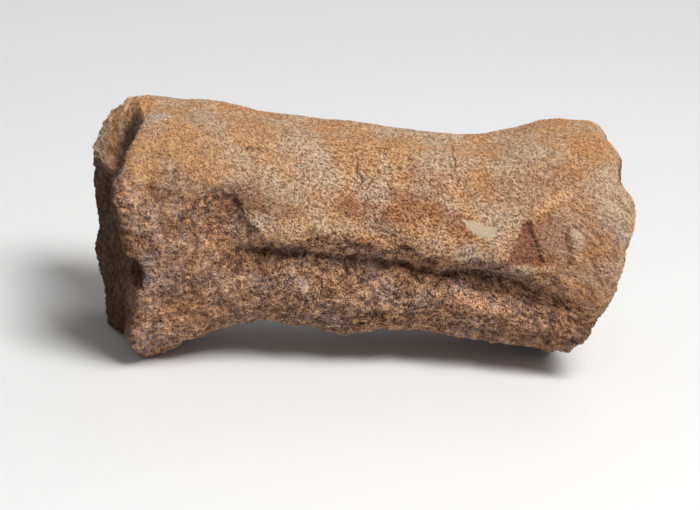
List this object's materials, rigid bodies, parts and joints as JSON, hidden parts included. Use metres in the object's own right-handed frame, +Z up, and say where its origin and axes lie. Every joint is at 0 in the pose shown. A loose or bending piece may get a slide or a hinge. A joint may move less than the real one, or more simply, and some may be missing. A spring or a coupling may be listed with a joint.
{
  "type": "fossil dinosaur tail vertebra",
  "caption": "Life-size fossil tail vertebra of a meat-eating dinosaur: a long spool-shaped centrum with dished ends and the worn stump of its arch.",
  "frame": {"origin": "middle of the bone's footprint, on the surface it rests on", "axes": "+X along the centrum towards the posterior face, -Y the side with the deeper lateral groove, +Z up, which is the bone's ventral side because it lies upside down"},
  "size_m": [0.1046, 0.0414, 0.0497],
  "materials": {
    "fossil_bone": "matt sandy brown fossil bone, paler on top and darker in the hollows"
  },
  "bodies": {
    "root": {"vertebra": "fossil_bone"}
  },
  "joints": []
}
